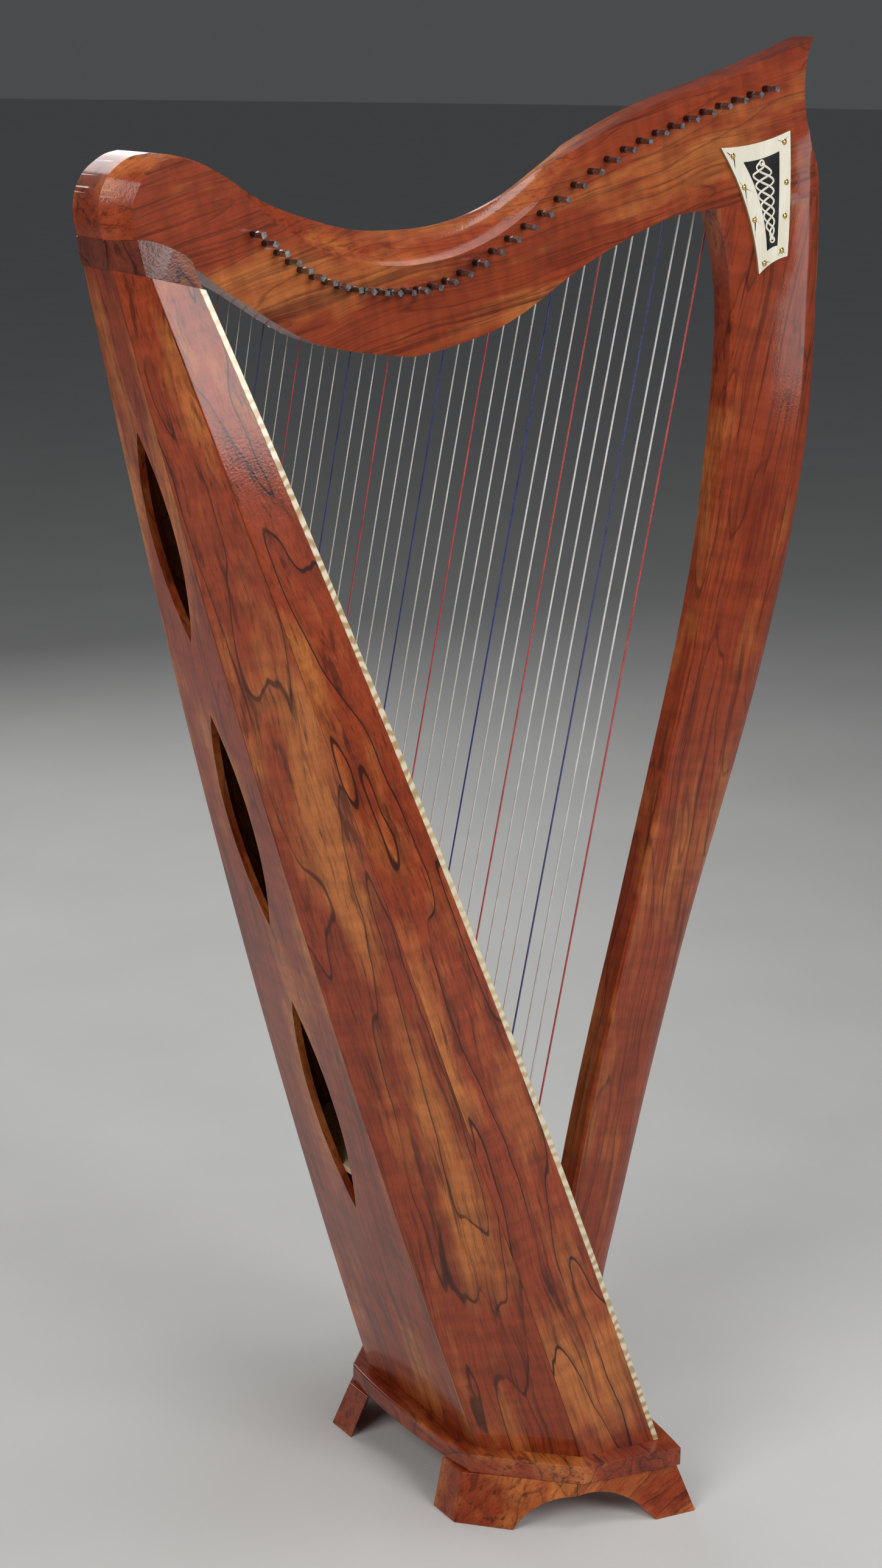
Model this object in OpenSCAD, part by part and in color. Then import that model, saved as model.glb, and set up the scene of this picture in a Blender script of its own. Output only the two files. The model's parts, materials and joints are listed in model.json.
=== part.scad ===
// Floor-standing folk harp with 36 strings and 36 sharping levers.
// Frame: +X from the player towards the pillar, +Y to the player's left (the string side), +Z up.
// Origin: on the floor, under the middle of the harp's bounding box. Millimetres.
// Everything above the base plate is drawn in the deck frame, whose z = 0 is the plate's top face.
// The drawing's own x = 0 lies middle_x behind the middle of the harp's length.

/* [Base] */
// Height of the legs, from the floor to the underside of the base plate
leg_height = 48; // [42:1:56]
// Thickness of the base plate
plate_thickness = 20; // [16:1:24]
// Thickness of the leg boards
leg_board = 27; // [22:1:30]
// Height of the arch cut through each leg frame
arch_height = 38; // [30:1:40]
// Length of the arch along the harp
arch_length = 136; // [120:1:140]

/* [Sound box] */
// Thickness of the five staves of the back
stave = 8; // [6:0.5:10]
// Thickness of the soundboard
board = 6; // [4:0.5:6]
// How far the rear facet bows backwards between its ends
rear_bow = 16; // [8:1:18]
// How far the side facets bow outwards between their ends
side_bow = 31; // [15:1:33]
// Width of the edge bindings beside the soundboard
binding = 5; // [4:0.5:6]
// Width of the sound holes
sound_hole_width = 50; // [40:1:54]
// Rounding of the edges where the staves of the back meet
arris = 1.6; // [1:0.1:2.5]

/* [Neck and pillar] */
// Thickness of the neck and of the pillar
slab = 32; // [28:1:34]
// Distance from the string plane to the neck's far face
slab_offset = 12; // [11:1:13]
// Depth of the cove scooped out of each side of the neck
scoop_depth = 14; // [10:1:14]

/* [Strings and pins] */
// Radius of the thinnest string
treble_r = 0.4; // [0.3:0.01:0.45]
// Radius of the thickest string
bass_r = 1.05; // [0.9:0.01:1.1]
// Radius of the tuning pins
pin_r = 3.2; // [2.8:0.1:3.4]
// How far the tuning pins stand out of the near face
pin_reach = 20; // [16:1:22]
// Distance from a tuning pin down its string to the bridge pin
bridge_drop = 20; // [19:1:22]
// Height of a lever below the bridge pin, as a fraction of the string's length: one semitone
semitone = 0.056; // [0.05:0.001:0.057]

/* [Levers] */
// Length of a lever handle, from its axis to the middle of its ring
handle_length = 20; // [18:1:22]
// Angle between a hanging handle and its string
handle_angle = 25; // [20:1:30]
// Angle that a lever turns from off to on
lever_throw = 110; // [100:1:115]
// Radial clearance of the lever's stud in its bore
running_fit = 0.05; // [0.02:0.01:0.08]

/* [Hidden] */
$fn = 48;
smooth = 180;
deck = leg_height + plate_thickness;
middle_x = 13.1;
string_count = 36;
near_face = -slab_offset - slab;
far_face = -slab_offset;
glue_gap = 0.1;
press_gap = 0.05;
lead = 1;

wood = "saddlebrown";
dark_wood = "#5a2a20";
pale_wood = "burlywood";
cream = "cornsilk";
steel = "#3c4450";

function lever_name(i) = str("lever_", i < 10 ? "0" : "", i);

// ---------- curves and solids ----------

function mix(a, b, t) = a + (b - a) * t;

// Zero at both ends of a curve, one in its middle
function bow(t) = 4 * t * (1 - t);

// Smooth curve through the points, each span in equal steps, without its last point
function spline(p, steps) = [
    for (i = [0 : len(p) - 2])
        let (
            a = i == 0 ? 2 * p[0] - p[1] : p[i - 1],
            b = p[i],
            c = p[i + 1],
            d = i == len(p) - 2 ? 2 * c - b : p[i + 2]
        )
        for (k = [0 : steps - 1])
            let (t = k / steps)
            0.5 * (2 * b + (c - a) * t + (2 * a - 5 * b + 4 * c - d) * t * t
                + (3 * b - a - 3 * c + d) * t * t * t)
];

// Curved side from a to b that stands out by rise in its middle, without its last point
function bowed_side(a, b, rise, steps) =
    let (along = (b - a) / norm(b - a), out = [along.y, -along.x])
    [for (k = [0 : steps - 1]) mix(a, b, k / steps) + rise * bow(k / steps) * out];

// Inner corner at q of a wall of thickness w whose outside runs p, q, r anticlockwise
function inner_corner(p, q, r, w) =
    let (
        a = (q - p) / norm(q - p),
        b = (r - q) / norm(r - q),
        na = [-a.y, a.x],
        nb = [-b.y, b.x]
    )
    q + w * (na + nb) / (1 + na * nb);

// Part of the rounding at corner q of the outline p, q, r, from its side towards p (t = 0) to r (t = 1)
function rounding(p, q, r, from, to) =
    let (
        start = q + arris * (p - q) / norm(p - q),
        end = q + arris * (r - q) / norm(r - q),
        steps = ceil(abs(to - from) * 8)
    )
    [
        for (k = [0 : steps])
            let (t = mix(from, to, k / steps))
            (1 - t) * (1 - t) * start + 2 * t * (1 - t) * q + t * t * end
    ];

function moved(points, v) = [for (p = points) p + v];

function at_height(points, z) = [for (p = points) [p.x, p.y, z]];

// Solid through a row of sections, each anticlockwise seen from the row's far end
module loft(sections) {
    n = len(sections[0]);
    last = (len(sections) - 1) * n;
    polyhedron(
        points = [for (s = sections) for (p = s) p],
        faces = concat(
            [[for (j = [0 : n - 1]) j]],
            [[for (j = [n - 1 : -1 : 0]) last + j]],
            [for (k = [0 : len(sections) - 2]) for (j = [0 : n - 1])
                [k * n + j, (k + 1) * n + j, (k + 1) * n + (j + 1) % n]],
            [for (k = [0 : len(sections) - 2]) for (j = [0 : n - 1])
                [k * n + j, (k + 1) * n + (j + 1) % n, k * n + (j + 1) % n]]
        ),
        convexity = 6
    );
}

// Slab between two Y positions, whose outline is given in X and Z
module side_slab(y_low, y_high, outline) {
    translate([0, y_high, 0])
        rotate([90, 0, 0])
            linear_extrude(y_high - y_low)
                polygon(outline);
}

// Cylinder along Y between two Y positions, centred on a point in X and Z
module cross_pin(point, y_low, y_high, r) {
    translate([point.x, y_high, point.y])
        rotate([90, 0, 0])
            cylinder(h = y_high - y_low, r = r);
}

// Cylinder in the string plane from one point in X and Z to another
module rod(from, to, r) {
    translate([from.x, 0, from.y])
        rotate([0, atan2(to.x - from.x, to.y - from.y), 0])
            cylinder(h = norm(to - from), r = r);
}

module at_level(z) {
    translate([-middle_x, 0, z])
        children();
}

module on_deck() {
    at_level(deck)
        children();
}

module other_side() {
    mirror([0, 1, 0])
        children();
}

// ---------- sound box: corner lines of the staves, [x, y] at height fraction t ----------

box_height = 1200;
stations = 16;
top_margin = 1.01;
foot_x = 140;
board_lean = 20.57;
board_depth = board / cos(board_lean);

function rear_corner(t) = [mix(-29, -379, t) - rear_bow * bow(t), mix(106, 28, t) + 3 * bow(t)];
function middle_corner(t) = [mix(51, -355, t) - rear_bow / 2 * bow(t), mix(179, 50, t) + side_bow * bow(t)];
function board_corner(t) = [foot_x - box_height * tan(board_lean) * t, mix(193, 57, t) + side_bow * bow(t)];

// Where the side stave ends behind the soundboard
function stave_end(t) =
    let (m = middle_corner(t), b = board_corner(t))
    mix(b, m, board_depth / (b.x - m.x));

function right(p) = [p.x, -p.y];

function rear_inner(t) =
    right(inner_corner(right(middle_corner(t)), right(rear_corner(t)), rear_corner(t), -stave));

function middle_inner(t) = inner_corner(rear_corner(t), middle_corner(t), stave_end(t), -stave);

function end_inner(t) =
    let (m = middle_corner(t), e = stave_end(t))
    [e.x, e.y - stave * norm(e - m) / (e.x - m.x)];

function station(k) = top_margin * k / stations;

// Room for glue on each side of a bevel stave
joint_inset = 0.3;

// Lofts the section that the function s gives at each height fraction
module box_loft(s) {
    loft([for (k = [0 : stations]) at_height(s(station(k)), box_height * station(k))]);
}

// The space above the joint between the sound box and the top block
joint_rear = [-379, 1200];
joint_slope = 12.8;
joint_space = 600;

module above_joint() {
    translate([joint_rear.x, 0, joint_rear.y])
        rotate([0, joint_slope, 0])
            translate([-joint_space / 2, -joint_space / 2, 0])
                cube(joint_space);
}

module below_joint() {
    translate([joint_rear.x, 0, joint_rear.y])
        rotate([0, joint_slope, 0])
            translate([-joint_space / 2, -joint_space / 2, -joint_space])
                cube(joint_space);
}

// Pointed ellipse, given by its middle height, its length and the lean of the facet there
sound_holes = [[365, 250, 13.5], [675, 228, 16.5], [955, 204, 18.5]];

module sound_hole(hole) {
    r = (pow(hole[1], 2) + pow(sound_hole_width, 2)) / (4 * sound_hole_width);
    x = rear_corner(hole[0] / box_height).x;
    translate([x, 0, hole[0]])
        rotate([0, -hole[2], 0])
            rotate([90, 0, 90])
                intersection_for (side = [-1, 1])
                    translate([side * (r - sound_hole_width / 2), 0, -3 * stave])
                        cylinder(h = 6 * stave, r = r, $fn = smooth);
}

module back_panel() {
    color(wood)
        on_deck()
            difference() {
                box_loft(function(t)
                    let (
                        corner = rear_corner(t),
                        edge = rounding(right(corner), corner, middle_corner(t), 0.5, 0),
                        last = len(edge) - 1
                    )
                    concat([right(rear_inner(t)), rear_inner(t)], edge,
                        [for (k = [last : -1 : 0]) right(edge[k])]));
                above_joint();
                for (hole = sound_holes)
                    sound_hole(hole);
            }
}

// The bevel stave stops a hair short of its neighbours, for glue
module bevel_stave() {
    on_deck()
        difference() {
            box_loft(function(t)
                let (
                    a = rear_corner(t),
                    b = middle_corner(t),
                    inset = joint_inset * (b - a) / norm(b - a)
                )
                concat(
                    moved([rear_inner(t)], inset),
                    moved([middle_inner(t)], -inset),
                    moved(rounding(a, b, stave_end(t), 0.5, 0), -inset),
                    moved(rounding(right(a), a, b, 1, 0.5), inset)
                ));
            above_joint();
        }
}

module side_stave() {
    on_deck()
        difference() {
            box_loft(function(t)
                concat([middle_inner(t), end_inner(t), stave_end(t)],
                    rounding(rear_corner(t), middle_corner(t), stave_end(t), 1, 0.5)));
            above_joint();
        }
}

module bevel_panel_left() {
    color(wood)
        bevel_stave();
}

module bevel_panel_right() {
    color(wood)
        other_side()
            bevel_stave();
}

module side_panel_left() {
    color(wood)
        side_stave();
}

module side_panel_right() {
    color(wood)
        other_side()
            side_stave();
}

// ---------- soundboard, string strip and what is behind them ----------

strip_width = 28;
strip_thickness = 3;
strip_start = 125;
strip_end = 1215;
hole_r = 2.2;
flange_r = 3.2;
flange_thickness = 0.8;
string_bore_r = 1.4;
bend_height = 0.5;
rib_width = 24;
rib_thickness = 8;
rib_start = 60;
rib_end = 1230;
board_up = [-sin(board_lean), cos(board_lean)];
board_out = [cos(board_lean), sin(board_lean)];

// Distance of a string's hole from the soundboard's foot, measured up its middle line
function string_distance(i) = 1176 - 24.2 * (i - 1) - 0.137 * (i - 1) * (i - 2);

// Point on the soundboard's middle line, out of its front face by h
function board_point(s, h) = [foot_x, 0] + s * board_up + h * board_out;

// Hole square to the soundboard, between two distances from its front face
module board_bore(i, low, high, r) {
    rod(board_point(string_distance(i), low), board_point(string_distance(i), high), r);
}

// Batten along the soundboard's middle line
module batten(start, end, width, low, high) {
    side_slab(-width / 2, width / 2, [
        board_point(start, low),
        board_point(start, high),
        board_point(end, high),
        board_point(end, low)
    ]);
}

module soundboard() {
    color(pale_wood)
        on_deck()
            difference() {
                box_loft(function(t)
                    let (b = board_corner(t), e = stave_end(t), half = b.y - binding)
                    [[e.x, -half], [b.x, -half], [b.x, half], [e.x, half]]);
                above_joint();
                for (i = [1 : string_count])
                    board_bore(i, -board - lead, lead, hole_r + press_gap);
            }
}

module string_strip() {
    color(dark_wood)
        on_deck()
            difference() {
                batten(strip_start, strip_end, strip_width, 0, strip_thickness);
                for (i = [1 : string_count])
                    board_bore(i, -lead, strip_thickness + lead, hole_r + press_gap);
            }
}

module binding_strip() {
    difference() {
        box_loft(function(t)
            let (b = board_corner(t), e = stave_end(t), half = b.y - binding)
            [[e.x, half], [b.x, half], b, e]);
        above_joint();
    }
}

module edge_bindings() {
    color(cream)
        on_deck() {
            binding_strip();
            other_side()
                binding_strip();
        }
}

// Square stick in the corner between the soundboard and a side stave
lining = 11;

module corner_lining() {
    box_loft(function(t)
        let (e = end_inner(t), x = e.x - glue_gap, y = e.y - 2 * glue_gap)
        [[x - lining, y - lining], [x, y - lining], [x, y], [x - lining, y - 2]]);
}

// Plate across the inside of the box, behind the linings and the rib
former_height = 282;
former_thickness = 8;
former_setback = 16;
former_window_r = 42;

function former_section(z) =
    let (
        t = z / box_height,
        inset = inner_corner(rear_corner(t), middle_corner(t), stave_end(t), -stave - 2 * glue_gap),
        rear = right(inner_corner(right(middle_corner(t)), right(rear_corner(t)), rear_corner(t),
            -stave - 2 * glue_gap)),
        e = end_inner(t),
        front = mix(e, inset, former_setback / (e.x - inset.x)) - [0, 2 * glue_gap]
    )
    at_height([right(rear), right(inset), right(front), front, inset, rear], z);

module former_plate() {
    difference() {
        loft([former_section(former_height), former_section(former_height + former_thickness)]);
        translate([-30, 0, former_height - lead])
            cylinder(h = former_thickness + 2 * lead, r = former_window_r);
    }
}

heel_height = 45;
heel_depth = 34;
heel_width = 250;

module heel_block() {
    side_slab(-heel_width / 2, heel_width / 2, [
        board_point(0, -board - glue_gap),
        board_point(heel_height, -board - glue_gap),
        board_point(heel_height, -board - glue_gap) - [heel_depth, 0],
        [board_point(0, -board - glue_gap).x - heel_depth, 0]
    ]);
}

module inner_frame() {
    color(pale_wood)
        on_deck() {
            difference() {
                batten(rib_start, rib_end, rib_width, -board - glue_gap - rib_thickness, -board - glue_gap);
                above_joint();
                for (i = [1 : string_count])
                    board_bore(i, -board - rib_thickness - 2 * lead, lead, string_bore_r);
            }
            difference() {
                corner_lining();
                above_joint();
            }
            other_side()
                difference() {
                    corner_lining();
                    above_joint();
                }
            former_plate();
            intersection() {
                heel_block();
                translate([-heel_width, -heel_width, 0])
                    cube(2 * heel_width);
            }
        }
}

module string_grommets() {
    color("goldenrod")
        on_deck()
            for (i = [1 : string_count])
                difference() {
                    union() {
                        board_bore(i, -board, strip_thickness + flange_thickness / 2, hole_r);
                        board_bore(i, strip_thickness, strip_thickness + flange_thickness, flange_r);
                    }
                    board_bore(i, -board - lead, strip_thickness + flange_thickness + lead, string_bore_r);
                }
}

// ---------- neck, shoulder and pillar: outlines in X and deck height ----------

seat_spans = 4;
under_steps = 5;
under_points = [[-385, 1225.5], [-361, 1226], [-343, 1223], [-321, 1213], [-303, 1198], [-265, 1173],
    [-187, 1130], [-103, 1114], [-60, 1114], [28, 1138], [118, 1190], [211, 1229], [276, 1238]];
under_curve = spline(under_points, under_steps);
neck_joint_rear = [276, 1238];
neck_joint_front = [413, 1247];
end_points = [neck_joint_front, [409, 1272], [398, 1294], [386, 1318], [380, 1350], [381, 1380], [388, 1402]];
top_points = [[388, 1402], [325, 1379], [266, 1360], [205, 1341.5], [162, 1325.5], [118, 1305],
    [70, 1280], [28, 1255], [-14, 1237.5], [-55, 1228.5], [-95, 1226], [-134, 1227.5], [-172, 1235.3],
    [-233, 1255], [-288, 1284.5], [-318, 1295.5], [-342, 1298.3]];
shoulder_points = [[-342, 1298.3], [-357, 1295.3], [-369, 1288.5], [-378, 1280.8], [-384, 1271.5],
    [-387.5, 1261.5], [-389, 1250], [-388.3, 1238], [-385, 1225.5]];
top_curve = spline(top_points, 5);
shoulder_curve = spline(shoulder_points, 5);
neck_outline = concat(
    under_curve,
    [neck_joint_rear],
    spline(end_points, 4),
    top_curve,
    shoulder_curve
);

// Cove scooped out of the upper edge of the neck, a ring of round section beside the neck
scoop_centre = [-91, 1432];
scoop_r = 206.6;
scoop_bend = 40;

module scoop_ring(y) {
    translate([scoop_centre.x, y, scoop_centre.y])
        rotate([90, 0, 0])
            rotate_extrude($fn = smooth)
                translate([scoop_r, 0])
                    circle(r = scoop_bend, $fn = smooth);
}

// Bevel that carries the sound box's corner round the shoulder: its inner edge lies on the near face,
// its outer edge on the shoulder's outline, that far out in Y
shoulder_middle = [-345, 1255];
bevel_inner = [[-362, 1216], [-362.5, 1226], [-364.5, 1238], [-365.3, 1250], [-363.6, 1261],
    [-359, 1270.5], [-353, 1279], [-345, 1286.6], [-335.5, 1291], [-325, 1293], [-313, 1292],
    [-299, 1288.5]];
bevel_outer = [[-384, 1216], [-385, 1225.5], [-388.2, 1238], [-389, 1250], [-387.5, 1261.5],
    [-384, 1271.5], [-378, 1280.8], [-369, 1288.5], [-357, 1295.3], [-342, 1298.3], [-322, 1296.6],
    [-299, 1289.3]];
bevel_reach = [25, 25, 25, 25, 25, 25, 25, 25, 26, 30, 36.5, 44.6];
bevel_steps = 4;
bevel_width = 44;
far_out = 60;
outward = 16;

// One section of a bevel's cutter: inner edge n, outer edge o at depth y, middle line m between them
function cutter_section(n, o, y, m, middle) =
    let (p = o + outward * (o - middle) / norm(o - middle))
    [[o.x, -y, o.y], [p.x, -y, p.y], [p.x, -far_out, p.y], [n.x, -far_out, n.y],
        [n.x, min(-bevel_width, -y), n.y], [m.x, m.y, m.z]];

module shoulder_bevel() {
    n = spline(bevel_inner, bevel_steps);
    o = spline(bevel_outer, bevel_steps);
    y = spline([for (v = bevel_reach) [v, 0]], bevel_steps);
    loft([
        for (k = [0 : len(n) - 1])
            let (depth = y[k].x, m = (n[k] + o[k]) / 2)
            cutter_section(n[k], o[k], depth, [m.x, -(bevel_width + depth) / 2, m.y], shoulder_middle)
    ]);
}

// Rounded outer edge of the pillar and of the neck's end: two facets on each side
edge_width = 26;
edge_depth = 9;
edge_step = [9, 5.5];

module end_bevel() {
    middle = [300, 1250];
    inner = [[387, 1230], [387, 1247], [387, 1272], [387, 1296], [386, 1320]];
    outer = [[413, 1230], [413, 1247], [409, 1272], [398, 1294], [386, 1321]];
    depth = [9, 9, 8, 4, -0.3];
    loft([
        for (k = [len(inner) - 1 : -1 : 0])
            let (
                y = bevel_width - depth[k],
                m = mix(outer[k], inner[k], edge_step.x / edge_width)
            )
            cutter_section(inner[k], outer[k], y,
                [m.x, -y - depth[k] * edge_step.y / edge_depth, m.y], middle)
    ]);
}

module slab_mirror() {
    translate([0, near_face + far_face, 0])
        mirror([0, 1, 0])
            children();
}

// Tuning pins along their curve, by string number from 1
pin_points = [[-248, 1228], [-188, 1189], [-120, 1173], [-46, 1180], [42, 1227], [137, 1287],
    [231, 1324], [328, 1352]];
pin_curve = concat(spline(pin_points, 5), [[328, 1352]]);

function pin_place(i) = pin_curve[i - 1];
function string_r(i) = mix(treble_r, bass_r, (i - 1) / (string_count - 1));
function string_foot(i) = board_point(string_distance(i), strip_thickness + flange_thickness + bend_height);
function rough_lean(i) =
    let (d = pin_place(i) - string_foot(i))
    atan2(d.x, d.y);

// Where the string meets its tuning pin, on the player's side of the pin
function string_head(i) =
    let (lean = rough_lean(i), out = pin_r + string_r(i) + press_gap)
    pin_place(i) + out * [-cos(lean), sin(lean)];
function string_length(i) = norm(string_head(i) - string_foot(i));
function string_lean(i) =
    let (d = string_head(i) - string_foot(i))
    atan2(d.x, d.y);
function down_string(i, distance) =
    string_head(i) - distance * [sin(string_lean(i)), cos(string_lean(i))];
function beside_string(i, distance) =
    distance * [cos(string_lean(i)), -sin(string_lean(i))];

bridge_r = 1.6;
bridge_sink = 14;
bridge_stand = 2.5;

function bridge_place(i) =
    down_string(i, bridge_drop) + beside_string(i, bridge_r + string_r(i) + press_gap);

screw_places = [[289, 1288], [354, 1301], [305, 1258], [359, 1262], [320, 1226], [359, 1229],
    [335, 1183], [357, 1195]];
screw_r = 1.5;
screw_depth = 16;
head_r = 3.2;
head_height = 1.6;
head_sphere_r = (pow(head_r, 2) + pow(head_height, 2)) / (2 * head_height);

module screw_holes() {
    for (p = screw_places)
        cross_pin(p, near_face - 2 * cover_thickness, near_face + screw_depth + lead, screw_r + press_gap);
}

module neck() {
    color(wood)
        on_deck()
            difference() {
                side_slab(near_face, far_face, neck_outline);
                scoop_ring(near_face + scoop_depth - scoop_bend);
                scoop_ring(far_face - scoop_depth + scoop_bend);
                shoulder_bevel();
                end_bevel();
                slab_mirror()
                    end_bevel();
                screw_holes();
                for (i = [1 : string_count]) {
                    cross_pin(pin_place(i), near_face - lead, far_face + lead, pin_r + press_gap);
                    cross_pin(bridge_place(i), far_face - bridge_sink, far_face + lead,
                        bridge_r + press_gap);
                }
            }
}

// Far half of the shoulder, which runs out into the neck's far face in a hollow
block_front = -290;
hollow_r = 28;
hollow_base = 1000;
clear_length = 800;

module shoulder_block() {
    color(wood)
        on_deck()
            difference() {
                side_slab(far_face, bevel_width, neck_outline);
                other_side()
                    shoulder_bevel();
                translate([block_front + hollow_r, far_face + hollow_r, hollow_base])
                    cylinder(h = clear_length, r = hollow_r, $fn = smooth);
                translate([block_front, far_face + hollow_r, hollow_base])
                    cube([clear_length, far_out, clear_length]);
                translate([block_front + hollow_r, far_face - lead, hollow_base])
                    cube([clear_length, far_out, clear_length]);
            }
}

// Top block: carries the five facets up to the seat of the neck
block_low = [[-373, 29], [-349, 52], [-297, 58.5]];
block_high = [[-389, 24.5], [-364.5, 42.5], [-325.6, 50.8]];
block_base_z = 1160;
block_top_z = 1240;

module top_block() {
    seat = [for (k = [0 : seat_spans * under_steps]) under_curve[k]];
    low = concat(block_low, [for (k = [2 : -1 : 0]) right(block_low[k])]);
    high = concat(block_high, [for (k = [2 : -1 : 0]) right(block_high[k])]);
    color(dark_wood)
        on_deck()
            difference() {
                intersection() {
                    loft([at_height([for (k = [5 : -1 : 0]) low[k]], block_base_z),
                        at_height([for (k = [5 : -1 : 0]) high[k]], block_top_z)]);
                    side_slab(-far_out, far_out,
                        concat([[-450, block_base_z], [-250, block_base_z], [-250, 1198]],
                            [for (k = [len(seat) - 1 : -1 : 0]) seat[k]], [[-450, 1225]]));
                }
                below_joint();
            }
}

// Pillar: height, rear edge and front edge in X
pillar_lines = [[0, 85, 162], [100, 106, 179], [200, 127, 203], [300, 147, 227], [400, 170, 253],
    [500, 195, 281], [600, 219, 313], [700, 243, 345], [800, 266, 373], [900, 284, 396],
    [1000, 294, 411], [1075, 299, 415], [1140, 299, 415], [1190, 291, 415], [1230, 278, 414],
    [1265, 265, 411]];
pillar_steps = 3;
rear_round = 3;

function pillar_section(p) =
    let (z = p[0], rear = p[1], front = p[2])
    at_height([
        [rear, far_face - rear_round],
        [rear, near_face + rear_round],
        [rear + rear_round, near_face],
        [front - edge_width, near_face],
        [front - edge_step.x, near_face + edge_depth - edge_step.y],
        [front, near_face + edge_depth],
        [front, far_face - edge_depth],
        [front - edge_step.x, far_face - edge_depth + edge_step.y],
        [front - edge_width, far_face],
        [rear + rear_round, far_face]
    ], z);

module pillar() {
    joint_angle = atan2(neck_joint_front.y - neck_joint_rear.y, neck_joint_front.x - neck_joint_rear.x);
    color(wood)
        on_deck()
            difference() {
                loft([for (p = spline(pillar_lines, pillar_steps)) pillar_section(p)]);
                translate([neck_joint_rear.x, 0, neck_joint_rear.y])
                    rotate([0, -joint_angle, 0])
                        translate([-100, -100, 0])
                            cube([400, 200, 200]);
                translate([foot_x, 0, 0])
                    rotate([0, -board_lean, 0])
                        translate([-200, -100, -100])
                            cube([200, 200, 400]);
                screw_holes();
            }
}

// ---------- plate over the neck joint ----------

cover_thickness = 3;
inlay_depth = 1;
plate_corners = [[274, 1296], [329, 1172], [365, 1189], [361, 1312]];
plate_rises = [-9, -3, 2, -4];
inlay_corners = [[303, 1282], [338, 1195], [351, 1200], [348, 1292]];
inlay_rises = [-7, -1, 1, -2];

function four_sided(corners, rises) = [
    for (k = [0 : 3])
        each bowed_side(corners[k], corners[(k + 1) % 4], rises[k], 8)
];

module joint_plate() {
    color("ivory")
        on_deck()
            difference() {
                side_slab(near_face - cover_thickness, near_face, four_sided(plate_corners, plate_rises));
                side_slab(near_face - cover_thickness - lead, near_face - cover_thickness + inlay_depth,
                    four_sided(inlay_corners, inlay_rises));
                screw_holes();
            }
}

module plate_inlay() {
    color("black")
        on_deck()
            side_slab(near_face - cover_thickness, near_face - cover_thickness + inlay_depth,
                four_sided(inlay_corners, inlay_rises));
}

module plate_screws() {
    color("gold")
        on_deck()
            for (p = screw_places) {
                cross_pin(p, near_face - cover_thickness - head_height / 2, near_face + screw_depth, screw_r);
                intersection() {
                    translate([p.x, near_face - cover_thickness - head_height + head_sphere_r, p.y])
                        sphere(r = head_sphere_r);
                    translate([p.x - head_r, near_face - cover_thickness - 2 * head_height, p.y - head_r])
                        cube([2 * head_r, 2 * head_height, 2 * head_r]);
                }
            }
}

// ---------- pins and strings ----------

pin_tail = 5;
pin_head = 5.1;
pin_square = 11;
coil_length = 3.4;
knot_r = 2.6;

// How far a tuned pin happens to be turned
function pin_turn(i) = 25 + 47 * i;

// Round pins whose outer ends are squared for the tuning key
module tuning_pins() {
    color(steel)
        on_deck()
            for (i = [1 : string_count]) {
                cross_pin(pin_place(i), near_face - pin_reach + pin_square, pin_tail, pin_r);
                intersection() {
                    cross_pin(pin_place(i), near_face - pin_reach, near_face, pin_r);
                    translate([pin_place(i).x, near_face - pin_reach, pin_place(i).y])
                        rotate([0, pin_turn(i), 0])
                            translate([-pin_head / 2, 0, -pin_head / 2])
                                cube([pin_head, pin_square + lead, pin_head]);
                }
            }
}

module bridge_pins() {
    color(steel)
        on_deck()
            for (i = [1 : string_count])
                cross_pin(bridge_place(i), far_face - bridge_sink, bridge_stand, bridge_r);
}

module one_string(i) {
    r = string_r(i);
    foot = string_foot(i);
    knot = board_point(string_distance(i), -board - glue_gap - rib_thickness - knot_r - press_gap);
    coil_y = coil_length / 2 + 0.4;
    difference() {
        cross_pin(pin_place(i), -coil_y, coil_y, pin_r + 2 * r + 2 * press_gap);
        cross_pin(pin_place(i), -coil_y - lead, coil_y + lead, pin_r + press_gap / 2);
    }
    rod(foot, string_head(i), r);
    rod(foot, knot, r * 0.98);
    for (p = [[foot, r * 1.2], [knot, knot_r]])
        translate([p[0].x, 0, p[0].y])
            sphere(r = p[1]);
}

module strings() {
    color("white")
        on_deck()
            for (i = [1 : string_count])
                one_string(i);
}

// ---------- levers: frame on the string, z up the string, x towards the pillar, y outwards ----------

hub_r = 2.6;
cam_offset = 1.8;
cam_r = 2.4;
hub_left = -2.2;
hub_right = 4.4;
ear_left = 4.6;
ear_right = 7.1;
stud_r = 1.25;
base_thickness = 2.5;
base_low = 6.5;
base_high = 3;
string_clear = 0.1;
handle_width = 4;
handle_thickness = 1.6;
ring_r = 2.9;
ring_hole_r = 1.4;

function axis_height(i) = string_r(i) + string_clear + cam_offset + cam_r;
function lever_drop(i) = bridge_drop + semitone * (string_length(i) - bridge_drop);

module at_lever(i) {
    place = down_string(i, lever_drop(i));
    translate([place.x, 0, place.y])
        rotate([0, string_lean(i), 0])
            children();
}

// Cylinder along x, centred on y and z
module axle(y, z, left, right_end, r) {
    translate([left, y, z])
        rotate([0, 90, 0])
            cylinder(h = right_end - left, r = r);
}

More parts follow.
